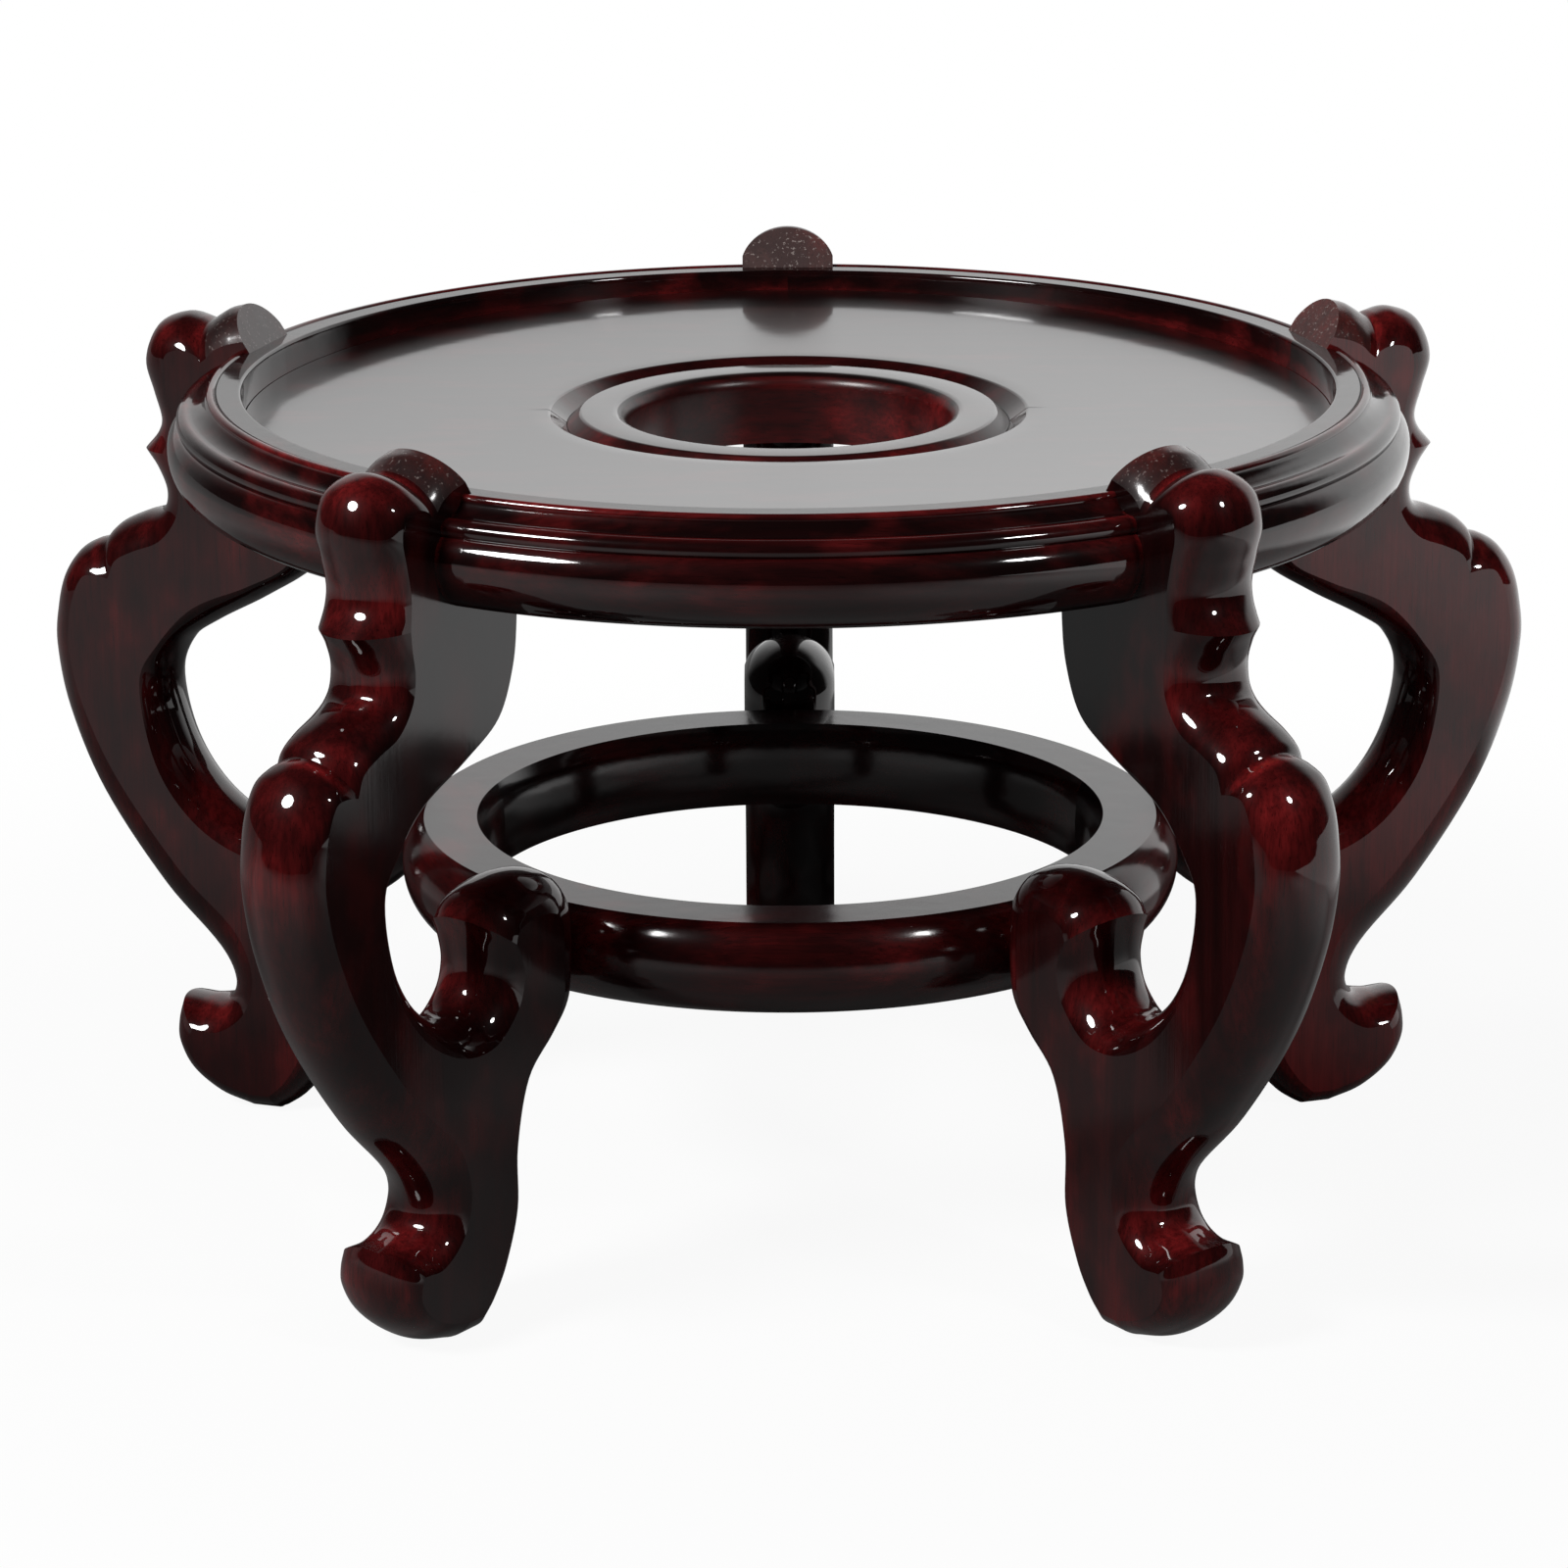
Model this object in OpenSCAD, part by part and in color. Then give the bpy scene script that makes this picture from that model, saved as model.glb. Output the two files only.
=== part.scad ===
// Round five-legged hardwood stand with a moulded rim, a recessed panel and a round stretcher.
// Millimetres, +Z up. The origin is on the axis of the top, on the floor.

/* [Top] */
// Radius of the recess inside the rim
recess_r = 164.5; // [150:0.5:182]
// Width of the rim, from the recess to the belly of its half-round
rim_w = 23; // [22:0.5:26]
// Height of the panel's top above the floor
seat_h = 241; // [225:1:280]
// Height of the rim's crest above the panel
rim_rise = 10; // [9:0.5:11.5]
// Depth of the rim below the panel's top
rim_drop = 22; // [20:0.5:26]
// How far the rim's underside draws in from its belly
rim_undercut = 13.5; // [11:0.5:15]
// Depth of the belly below the panel's top
rim_belly = 7; // [6:0.5:8.5]
// Thickness of the panel
panel_t = 22; // [18:0.5:22]
// Thickness of the panel's tongue
tongue_t = 8; // [5:0.5:9]
// Reach of the panel's tongue into the rim
tongue_d = 5; // [3:0.5:5.5]
// Depth of the tongue below the panel's top
tongue_top = 5; // [3:0.5:6]

/* [Centre ring] */
// Radius of the through hole
hole_r = 49; // [40:0.5:52]
// Radius of the rounded edge of the hole
hole_round = 4.5; // [2:0.5:5]
// Width of the ring, from the hole to the bottom of the V-groove
ring_w = 18; // [16:0.5:22]
// Depth of the V-groove
vee_d = 4; // [2:0.5:5]
// Width of the V-groove on the ring's side
vee_in = 4; // [2:0.5:5]
// Width of the V-groove on the panel's side
vee_out = 5.5; // [2:0.5:7]
// Thickness of the ring's flange, which lies on the panel's ledge
flange_t = 12; // [9:0.5:14]
// Width of the panel's ledge under the flange
ledge_w = 9; // [5:0.5:10]
// Thickness of the ring
ring_t = 22; // [20:0.5:22]

/* [Legs] */
// Thickness of a leg plank
leg_t = 30; // [24:0.5:36]
// How far inside the belly of the rim the leg heads are set
head_in = 2.5; // [1:0.5:4]
// Reach of the shoulder beyond the rim
shoulder_out = 57.5; // [50:0.5:66]
// Depth of the shoulder's widest point below the panel's top
shoulder_drop = 90; // [84:0.5:96]
// How far inside the belly of the rim the feet stand
foot_in = 12.5; // [6:0.5:18]
// Depth of flat worn on the sole
sole_cut = 0.8; // [0.5:0.1:1.5]

/* [Stretcher] */
// How far inside the belly of the rim the outside of the stretcher lies
stretcher_in = 67.5; // [62:0.5:72]
// Width of the stretcher ring
stretcher_w = 25.5; // [22:0.5:34]
// Height of the stretcher's top above the floor
stretcher_top = 114; // [108:0.5:118]
// Depth of the stretcher ring
stretcher_h = 27.5; // [22:0.5:30]
// Bulge of the stretcher's outside
bulge_out = 6; // [3:0.5:8]
// Bulge of the stretcher's inside
bulge_in = 1.5; // [0.5:0.5:4]

/* [Fixings] */
// Diameter of the dowels
dowel_d = 8; // [6:0.5:9]
// Reach of a head dowel up into the rim
head_dowel_up = 18; // [12:0.5:20]
// Reach of a head dowel down into the leg
head_dowel_down = 22; // [14:0.5:28]
// How far inside the belly a head dowel stands
head_dowel_in = 12; // [11:0.5:12.5]
// Reach of a post dowel into the stretcher
post_dowel_in = 10; // [6:0.5:14]
// Reach of a post dowel into the post
post_dowel_out = 22; // [12:0.5:28]
// Length of a loose tongue in the panel's joint
spline_l = 50; // [30:1:60]
// Width of a loose tongue, across the joint
spline_w = 16; // [10:0.5:24]
// Thickness of a loose tongue
spline_t = 5; // [3:0.5:6]

/* [Fits] */
// Clearance of the leg's housings round the rim and the stretcher
housing_clear = 0.2; // [0.1:0.05:0.4]
// Clearance of the panel in the rim and of the ring in the panel
tongue_clear = 0.2; // [0.1:0.05:0.4]
// Clearance round a dowel or a loose tongue
dowel_clear = 0.1; // [0.05:0.05:0.3]

/* [Hidden] */
$fn = 96;

wood = [0.24, 0.05, 0.05];
wood_panel = [0.36, 0.16, 0.14];
wood_inside = [0.55, 0.36, 0.22];

leg_count = 5;
leg_step = 360 / leg_count;
// The first leg stands at the back.
function leg_angle(i) = 90 + leg_step * (i - 1);

// Radii that follow from the recess, the hole and the widths round them
rim_r = recess_r + rim_w;
ring_r = hole_r + ring_w;
foot_r = rim_r - foot_in;
stretcher_r = rim_r - stretcher_in;
stretcher_in_r = stretcher_r - stretcher_w;

// Rim moulding. Each member's size, and how far its centre or end lies inside the belly and below the crest
half_round_r = 9;
half_round_down = 10.3;
half_round_top = rim_rise - half_round_down;
ovolo_r = 3;
ovolo_in = 6;
ovolo_down = 8.4;
bead_w = 5;
bead_h = 5.2;
crest_in = 13;
crest = [rim_r - crest_in, rim_rise];
// Grooves below and above the ovolo
low_groove_in = 3.9;
low_groove_down = 10.2;
low_groove = [rim_r - low_groove_in, rim_rise - low_groove_down];
high_groove_in = 8.2;
high_groove_down = 5.6;
high_groove = [rim_r - high_groove_in, rim_rise - high_groove_down];

// Slack of a cutting tool past the faces that it cuts
over = 1;

function arc(c, r, from, to, steps) =
    [for (i = [0 : steps]) let (a = from + (to - from) * i / steps) c + r * [cos(a), sin(a)]];
function oval(c, rx, ry, from, to, steps) =
    [for (i = [0 : steps]) let (a = from + (to - from) * i / steps) c + [rx * cos(a), ry * sin(a)]];
function last(list) = list[len(list) - 1];

// The rim's outside in four convex runs, from its underside up over its crest, grown by a clearance
function half_round(grow) = concat(
    oval([rim_r - rim_undercut, -rim_belly], rim_undercut + grow, rim_drop - rim_belly + grow, -90, 0, 7),
    arc([rim_r - half_round_r, -rim_belly], half_round_r + grow, 6,
        asin((half_round_top + rim_belly) / half_round_r), 4));
function ovolo(grow) = arc([rim_r - ovolo_in, rim_rise - ovolo_down], ovolo_r + grow, -30, 90, 5);
function top_bead(grow) = oval(crest - [0, bead_h], bead_w + grow, bead_h + grow, 0, 90, 6);
function inner_round(grow) = oval([crest[0], 0], crest[0] - recess_r + grow, rim_rise + grow, 105, 180, 5);

// Rim section, from the inner bottom corner round the outside and the crest to the panel's groove
function rim_section() = let (groove_floor = recess_r + tongue_d) concat(
    [[recess_r, -rim_drop]],
    half_round(0), [low_groove], ovolo(0), [high_groove], top_bead(0), inner_round(0),
    [[recess_r, -tongue_top], [groove_floor, -tongue_top], [groove_floor, -tongue_top - tongue_t],
     [recess_r, -tongue_top - tongue_t]]);

module rim_segment(i) {
    color(wood)
    difference() {
        translate([0, 0, seat_h])
        rotate([0, 0, leg_angle(i)])
        rotate_extrude(angle = leg_step) polygon(rim_section());
        for (k = [i, i + 1]) head_dowel_hole(k);
    }
}

// Panel of two boards that meet under the X axis, with a tongue all round and a ledge for the ring
module panel_board(from) {
    edge = recess_r - tongue_clear;
    tip = recess_r + tongue_d - tongue_clear;
    seat = ring_r + tongue_clear;
    color(wood_panel)
    difference() {
        translate([0, 0, seat_h])
        rotate([0, 0, from])
        rotate_extrude(angle = 180)
        polygon([[ring_r - ledge_w + tongue_clear, -panel_t], [edge, -panel_t],
            [edge, -tongue_top - tongue_t + tongue_clear], [tip, -tongue_top - tongue_t + tongue_clear],
            [tip, -tongue_top - tongue_clear], [edge, -tongue_top - tongue_clear], [edge, 0],
            [ring_r + vee_out, 0], [seat, -vee_d], [seat, -flange_t],
            [ring_r - ledge_w + tongue_clear, -flange_t]]);
        for (side = [1, -1]) spline_bar(side, dowel_clear);
    }
}
module panel_front() panel_board(180);
module panel_back() panel_board(0);

// Loose tongue across the panel's joint, half-way between the ring's seat and the rim
module spline_bar(side, grow) {
    middle = (ring_r + recess_r) / 2;
    translate([side * middle, 0, seat_h - panel_t / 2])
    cube([spline_l + 2 * grow, spline_w + 2 * grow, spline_t + 2 * grow], center = true);
}
module panel_spline(side) color(wood_inside) spline_bar(side, 0);

module centre_ring() {
    hub_r = ring_r - ledge_w;
    color(wood_panel)
    translate([0, 0, seat_h])
    rotate_extrude()
    polygon(concat(
        [[hole_r, -ring_t], [hub_r, -ring_t], [hub_r, -flange_t], [ring_r, -flange_t],
         [ring_r, -vee_d], [ring_r - vee_in, 0]],
        arc([hole_r + hole_round, -hole_round], hole_round, 90, 180, 6)));
}

// Stretcher section: flat above and below, bulging outside and a little inside
function bulge_radius(sag) = (pow(stretcher_h / 2, 2) + sag * sag) / (2 * sag);
function bulge_angle(sag) = asin(stretcher_h / 2 / bulge_radius(sag));
function stretcher_outside(grow) = let (r = bulge_radius(bulge_out), a = bulge_angle(bulge_out))
    arc([stretcher_r - r, 0], r + grow, -a, a, 8);
function stretcher_inside() = let (r = bulge_radius(bulge_in), a = bulge_angle(bulge_in))
    arc([stretcher_in_r + r, 0], r, 180 - a, 180 + a, 4);
stretcher_mid = stretcher_top - stretcher_h / 2;

module stretcher_segment(i) {
    color(wood)
    difference() {
        translate([0, 0, stretcher_mid])
        rotate([0, 0, leg_angle(i)])
        rotate_extrude(angle = leg_step) polygon(concat(stretcher_outside(0), stretcher_inside()));
        for (k = [i, i + 1]) post_dowel_hole(k);
    }
}

// Leg outline. Each row is one place on it: radius and height of the rounded edge's crest, in the middle
// of the plank, then radius and height of the same place on the plank's flat side. Rows are measured from
// the leg head's set-in at the panel's height, the shoulder, the foot or the stretcher's upper outer edge.
// They are drawn for one rim radius and one panel height, and stretch with both.
drawn_for = [187.5, 241];
stretch_r = rim_r / drawn_for[0];
stretch_z = seat_h / drawn_for[1];
stretch = [stretch_r, stretch_z, stretch_r, stretch_z];
from_rim = [rim_r - head_in, seat_h];
from_shoulder = [rim_r + shoulder_out, seat_h - shoulder_drop];
from_foot = [foot_r, 0];
from_stretcher = [stretcher_r, stretcher_top];
function placed(anchor, rows) = [for (p = rows) [for (k = [0 : 3]) p[k] * stretch[k] + anchor[k % 2]]];

arch_face = placed(from_rim, [[-17, 6, -17, 6], [-7, 21.5, -10.5, 16]]);
arch_top = placed(from_rim, [[-7, 21.5, -10.5, 16], [-3, 20.4, -5.5, 13.5], [-0.5, 19, -2.5, 10.5],
    [2.5, 17, 0, 7.5], [4.5, 16, 2, 5.5]]);
knob = placed(from_rim, [[4.5, 16, 2, 5.5], [7, 17.2, 3.5, 7.5], [13, 18.2, 8, 9], [21, 14.5, 13.5, 7.5],
    [25.5, 4, 15, 1.5], [23, -6, 13.5, -6], [20.5, -14.5, 12, -14], [22, -19.5, 12, -19],
    [27, -25.3, 12.5, -24.5]]);
neck = placed(from_rim, [[27, -25.3, 12.5, -24.5], [22.5, -31, 12, -30], [19.5, -38, 11, -37.5],
    [21, -44, 12.5, -45.5], [28, -46.6, 18.5, -53], [35.5, -50, 28, -57], [39.5, -53.3, 34, -60.5],
    [41.3, -56, 36.5, -66.3]]);
shank = concat([last(neck)],
    placed(from_shoulder, [[-14, 32.7, -18.5, 24.5], [-9, 29.6, -14.5, 23.5], [-4, 22.5, -11.3, 17.5],
        [-1.3, 13, -9.5, 10], [0, 0, -9, -2], [-3.5, -22, -13.5, -20], [-14.5, -49.5, -24.5, -43]]),
    placed(from_foot, [[35.5, 72, 24.5, 79], [17, 52, 6.5, 60.5], [12, 42, 1.5, 45.5], [14.5, 35.5, 5, 33.5],
        [22.5, 34.8, 14, 27], [29.5, 33, 22, 26], [32, 28, 24.5, 23.5], [32, 21.5, 24.5, 19],
        [27.5, 11.5, 20.5, 13.5], [17, 3, 13, 9], [5, -sole_cut, 4, 7 - sole_cut]]));
sole = placed(from_foot, [[5, -sole_cut, 4, 7 - sole_cut], [-4, -sole_cut, -3, 7 - sole_cut]]);
inner = concat([last(sole)],
    placed(from_foot, [[-10.5, 4, -8, 11], [-19, 15, -13.5, 19.5], [-25, 33, -19, 34.5],
        [-26, 51, -19.5, 53]]),
    placed(from_stretcher, [[22.5, -45, 30, -41], [10, -34, 19, -30.5], [1.5, -25.5, 13, -23],
        [-1.5, -14, 12, -14], [-1.5, -3, 12, -4], [0, 5.5, 12.5, 1], [5.5, 12.5, 15, 4.5],
        [14.5, 16, 20.5, 6], [26, 16.3, 27, 6], [37, 13.8, 32.5, 4], [43.5, 8, 34, 0.5],
        [42, 0, 32, -4], [41, -8, 30.5, -10], [44, -15, 33.5, -19], [51.5, -19.5, 44, -27.5],
        [62, -16, 59, -27]]),
    placed(from_shoulder, [[-51, -42, -49.5, -54], [-43, -27, -37.5, -36], [-40, -10, -33, -10],
        [-45, 2, -39.5, 3]]),
    placed(from_rim, [[4.5, -80.5, 8, -74], [-13, -71, -11, -65.5], [-28.5, -60.5, -25, -57.5],
        [-37.5, -45, -31.5, -44], [-40, -30, -33.5, -30], [-40, -15, -33.5, -15]]));
// Closing edge, inside the rim, where the housing is cut
closing = concat([last(inner)], placed(from_rim, [[-18, -8, -18, -8]]), [arch_face[0]]);

// Smooth curve through the rows of one run, without its last point
function knots(rows, i = 0, t = 0) = i == len(rows) ? [] : concat([t], knots(rows, i + 1,
    t + (i < len(rows) - 1 ? sqrt(norm([for (k = [0, 1]) rows[i + 1][k] - rows[i][k]])) : 0)));
function slope(rows, t, i) = let (a = max(i - 1, 0), b = min(i + 1, len(rows) - 1))
    (rows[b] - rows[a]) / (t[b] - t[a]);
function between(p, q, dp, dq, s) =
    p * (1 + s * s * (2 * s - 3)) + dp * s * (1 - s) * (1 - s) + q * s * s * (3 - 2 * s)
    - dq * s * s * (1 - s);
function run(rows, steps) = let (t = knots(rows))
    [for (i = [0 : len(rows) - 2]) let (h = t[i + 1] - t[i]) for (j = [0 : steps - 1])
        between(rows[i], rows[i + 1], slope(rows, t, i) * h, slope(rows, t, i + 1) * h, j / steps)];

edge_steps = 2;
leg_edge = concat(run(arch_face, 1), run(arch_top, edge_steps), run(knob, edge_steps),
    run(neck, edge_steps), run(shank, edge_steps), run(sole, 1), run(inner, edge_steps), run(closing, 1));

// Triangles that fill a flat outline, cut off one corner at a time, every other corner first
function turn(a, b, c) = (b[0] - a[0]) * (c[1] - a[1]) - (b[1] - a[1]) * (c[0] - a[0]);
function holds(a, b, c, p) = turn(a, b, p) <= 0 && turn(b, c, p) <= 0 && turn(c, a, p) <= 0;
function is_ear(pts, a, b, c, order) = turn(pts[a], pts[b], pts[c]) < 0 && len([for (k = order)
    if (k != a && k != b && k != c && holds(pts[a], pts[b], pts[c], pts[k])) k]) == 0;
function next_ear(pts, order, i) = let (n = len(order))
    is_ear(pts, order[(i + n - 1) % n], order[i % n], order[(i + 1) % n], order) ? i % n
    : next_ear(pts, order, i + 1);
function ears(pts, order, start = 0) = let (n = len(order)) n == 3 ? [order] :
    let (i = next_ear(pts, order, start)) concat(
        [[order[(i + n - 1) % n], order[i], order[(i + 1) % n]]],
        ears(pts, [for (k = [0 : n - 1]) if (k != i) order[k]], i + 1));

// Steps of the rounded edge from one flat side, over the crest, to the other, and its turn from the crest
// to a flat side, which it meets in a crease
round_steps = 8;
edge_turn = 75;
module leg_blank() {
    count = len(leg_edge);
    points = [for (k = [0 : round_steps])
        let (a = edge_turn * (2 * k / round_steps - 1), f = (1 - cos(a)) / (1 - cos(edge_turn)),
            y = leg_t / 2 * sin(a) / sin(edge_turn))
        for (p = leg_edge) [p[0] + (p[2] - p[0]) * f, y, p[1] + (p[3] - p[1]) * f]];
    walls = [for (k = [0 : round_steps - 1]) for (i = [0 : count - 1]) let (j = (i + 1) % count)
        each [[k * count + i, (k + 1) * count + i, (k + 1) * count + j],
              [k * count + i, (k + 1) * count + j, k * count + j]]];
    side = ears([for (p = leg_edge) [p[2], p[3]]], [for (i = [0 : count - 1]) i]);
    polyhedron(points, concat(walls, side,
        [for (f = side) [f[2], f[1], f[0]] + round_steps * count * [1, 1, 1]]));
}

// Housing for the rim: its outside and its crest with clearance, its underside without
module rim_housing() {
    low = rim_r - leg_reach;
    outline = concat([[low, -rim_drop], [rim_r - rim_undercut, -rim_drop]],
        [for (p = half_round(housing_clear)) if (p[1] > -rim_drop) p],
        ovolo(housing_clear), top_bead(housing_clear), inner_round(housing_clear), [[low, 0]]);
    translate([0, 0, seat_h])
    rotate([0, 0, -housing_angle])
    rotate_extrude(angle = 2 * housing_angle) polygon(outline);
}
// Housing for the stretcher in the post's inner end
module stretcher_housing() {
    outline = concat(stretcher_outside(housing_clear),
        [[stretcher_in_r, stretcher_h / 2 + housing_clear],
         [stretcher_in_r, -stretcher_h / 2 - housing_clear]]);
    translate([0, 0, stretcher_mid])
    rotate([0, 0, -housing_angle])
    rotate_extrude(angle = 2 * housing_angle) polygon(outline);
}
// The shelf's reach inside the belly, with slack, and half the angle that the housings span
leg_reach = 45;
housing_angle = 14;

// Turn of a round bar about its own axis, which keeps its seam off the joint that it stands in
seam_turn = 45;
module head_dowel_bar(i, grow) {
    rotate([0, 0, leg_angle(i)])
    translate([rim_r - head_dowel_in, 0, seat_h - rim_drop - head_dowel_down - grow])
    rotate([0, 0, seam_turn])
    cylinder(h = head_dowel_down + head_dowel_up + 2 * grow, d = dowel_d + 2 * grow);
}
module head_dowel_hole(i) head_dowel_bar(i, dowel_clear);
module head_dowel(i) color(wood_inside) head_dowel_bar(i, 0);

module post_dowel_bar(i, grow) {
    rotate([0, 0, leg_angle(i)])
    translate([stretcher_r - post_dowel_in - grow, 0, stretcher_mid])
    rotate([0, 90, 0])
    rotate([0, 0, seam_turn])
    cylinder(h = post_dowel_in + post_dowel_out + 2 * grow, d = dowel_d + 2 * grow);
}
module post_dowel_hole(i) post_dowel_bar(i, dowel_clear);
module post_dowel(i) color(wood_inside) post_dowel_bar(i, 0);

module leg(i) {
    floor_size = 2 * (rim_r + shoulder_out) + over;
    color(wood)
    difference() {
        rotate([0, 0, leg_angle(i)])
        difference() {
            leg_blank();
            rim_housing();
            stretcher_housing();
            translate([0, -leg_t / 2 - over, -sole_cut - over])
            cube([floor_size, leg_t + 2 * over, sole_cut + over]);
        }
        head_dowel_hole(i);
        post_dowel_hole(i);
    }
}

rim_segment(1);  // rim_segment_1
rim_segment(2);  // rim_segment_2
rim_segment(3);  // rim_segment_3
rim_segment(4);  // rim_segment_4
rim_segment(5);  // rim_segment_5
panel_front();
panel_back();
panel_spline(1);  // panel_spline_right
panel_spline(-1);  // panel_spline_left
centre_ring();
leg(1);  // leg_1
leg(2);  // leg_2
leg(3);  // leg_3
leg(4);  // leg_4
leg(5);  // leg_5
stretcher_segment(1);  // stretcher_segment_1
stretcher_segment(2);  // stretcher_segment_2
stretcher_segment(3);  // stretcher_segment_3
stretcher_segment(4);  // stretcher_segment_4
stretcher_segment(5);  // stretcher_segment_5
head_dowel(1);  // head_dowel_1
head_dowel(2);  // head_dowel_2
head_dowel(3);  // head_dowel_3
head_dowel(4);  // head_dowel_4
head_dowel(5);  // head_dowel_5
post_dowel(1);  // post_dowel_1
post_dowel(2);  // post_dowel_2
post_dowel(3);  // post_dowel_3
post_dowel(4);  // post_dowel_4
post_dowel(5);  // post_dowel_5
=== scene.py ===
"""Round five-legged lacquered hardwood stand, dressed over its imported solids."""
import math

import bmesh
import bpy
from mathutils import Euler, Matrix, Vector


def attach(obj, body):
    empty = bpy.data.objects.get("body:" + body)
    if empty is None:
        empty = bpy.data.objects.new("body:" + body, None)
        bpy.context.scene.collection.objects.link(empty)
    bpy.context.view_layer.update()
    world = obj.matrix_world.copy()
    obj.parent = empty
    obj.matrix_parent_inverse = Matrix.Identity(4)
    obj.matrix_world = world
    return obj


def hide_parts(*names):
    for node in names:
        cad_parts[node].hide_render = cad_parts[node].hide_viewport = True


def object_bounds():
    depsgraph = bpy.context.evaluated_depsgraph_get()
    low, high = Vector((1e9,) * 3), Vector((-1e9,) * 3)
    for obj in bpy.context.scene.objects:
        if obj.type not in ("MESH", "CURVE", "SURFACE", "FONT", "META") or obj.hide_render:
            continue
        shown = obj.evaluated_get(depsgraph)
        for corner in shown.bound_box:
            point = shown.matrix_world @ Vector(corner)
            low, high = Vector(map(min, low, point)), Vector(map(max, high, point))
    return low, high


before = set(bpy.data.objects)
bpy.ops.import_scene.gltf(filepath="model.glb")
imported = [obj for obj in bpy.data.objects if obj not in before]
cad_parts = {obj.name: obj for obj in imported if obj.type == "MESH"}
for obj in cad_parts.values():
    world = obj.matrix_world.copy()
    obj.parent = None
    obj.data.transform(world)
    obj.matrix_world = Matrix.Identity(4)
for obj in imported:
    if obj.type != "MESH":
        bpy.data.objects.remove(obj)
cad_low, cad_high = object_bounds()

MM = 0.001
LEG_NUMBERS = range(1, 6)
FIRST_LEG = 90.0  # degrees
SPAN = 72.0  # degrees from one leg to the next

# Sizes in millimetres, the same as the solids'
RIM_R = 187.5
SEAT = 241.0  # top of the panel above the floor
RECESS = 164.5
RISE = 10.0  # rim above the seat
DROP = 22.0  # rim below the seat
UNDERCUT = 13.5
BELLY = 7.0  # widest line of the rim below the seat
HOLE_R = 49.0
HOLE_ROUND = 4.5
RING_R = 67.0
RING_T = 22.0
LEDGE_W = 9.0  # ledge that carries the centre ring
LEDGE_D = 12.0
VEE_D = 4.0
VEE_IN = 4.0
VEE_OUT = 5.5
PANEL_T = 22.0
TONGUE_D = 5.0
TONGUE_TOP = 5.0
TONGUE_T = 8.0
LEG_T = 30.0
SHOULDER = (245.0, 151.0)
FOOT = (175.0, 0.0)
POST = (120.0, 114.0)
SOLE_CUT = 0.8
STRETCHER_R = 120.0
STRETCHER_IN = 94.5
STRETCHER_TOP = 114.0
STRETCHER_H = 27.5
BULGE_OUT = 6.0
BULGE_IN = 1.5
GAP = 0.2

# Sizes in millimetres of what only the scene has
CUP = 3.2  # rise of the panel's front and back edge
FLAT_DROP = 0.5  # flat top of the rim below its bead
WALL_LEAN = 0.03  # lean of the recess wall, per millimetre up
STRETCHER_SOFT = 0.8
BRINK_SOFT = 0.5  # softened edge of the groove
JOINT_GAPE = 0.35  # the panel's open joint, by radius and depth
JOINT_FROM = 71
JOINT_TO = 79
JOINT_D = 6


def leg_angle(i):
    return FIRST_LEG + SPAN * (i - 1)


def oval(c, rx, ry, a0, a1, n):
    """Points of an oval about c, from one angle to another in degrees."""
    out = []
    for i in range(n + 1):
        a = math.radians(a0 + (a1 - a0) * i / n)
        out.append((c[0] + rx * math.cos(a), c[1] + ry * math.sin(a)))
    return out


def arc(c, r, a0, a1, n):
    return oval(c, r, r, a0, a1, n)


def bend(a, b, c, n):
    """Points of the curve that leaves a towards b and comes to c from b."""
    out = []
    for i in range(n + 1):
        t = i / n
        out.append(tuple(a[k] * (1 - t) ** 2 + b[k] * 2 * t * (1 - t) + c[k] * t * t
                         for k in (0, 1)))
    return out


def make(name, verts, faces, grain, thin, materials, marks, sharp_angle, creases=None):
    """A closed mesh in metres, with grain coordinates and an amount of red on each vertex: thin
    finish, and on the legs also painted light.
    """
    me = bpy.data.meshes.new(name)
    me.from_pydata([tuple(c * MM for c in v) for v in verts], [], faces)
    me.attributes.new("grain", "FLOAT_VECTOR", "POINT").data.foreach_set(
        "vector", [c * MM for g in grain for c in g])
    me.attributes.new("thin", "FLOAT", "POINT").data.foreach_set("value", thin)
    bm = bmesh.new()
    bm.from_mesh(me)
    bmesh.ops.recalc_face_normals(bm, faces=bm.faces)
    bm.to_mesh(me)
    bm.free()
    me.polygons.foreach_set("use_smooth", [True] * len(me.polygons))
    me.set_sharp_from_angle(angle=math.radians(sharp_angle))
    if creases:
        mark = (me.attributes.get("sharp_edge")
                or me.attributes.new("sharp_edge", "BOOLEAN", "EDGE"))
        for e in me.edges:
            if creases(e.vertices[0], e.vertices[1]):
                mark.data[e.index].value = True
    ob = bpy.data.objects.new(name, me)
    bpy.context.scene.collection.objects.link(ob)
    for m in materials:
        me.materials.append(m)
    me.polygons.foreach_set("material_index", marks)
    return ob


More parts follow.
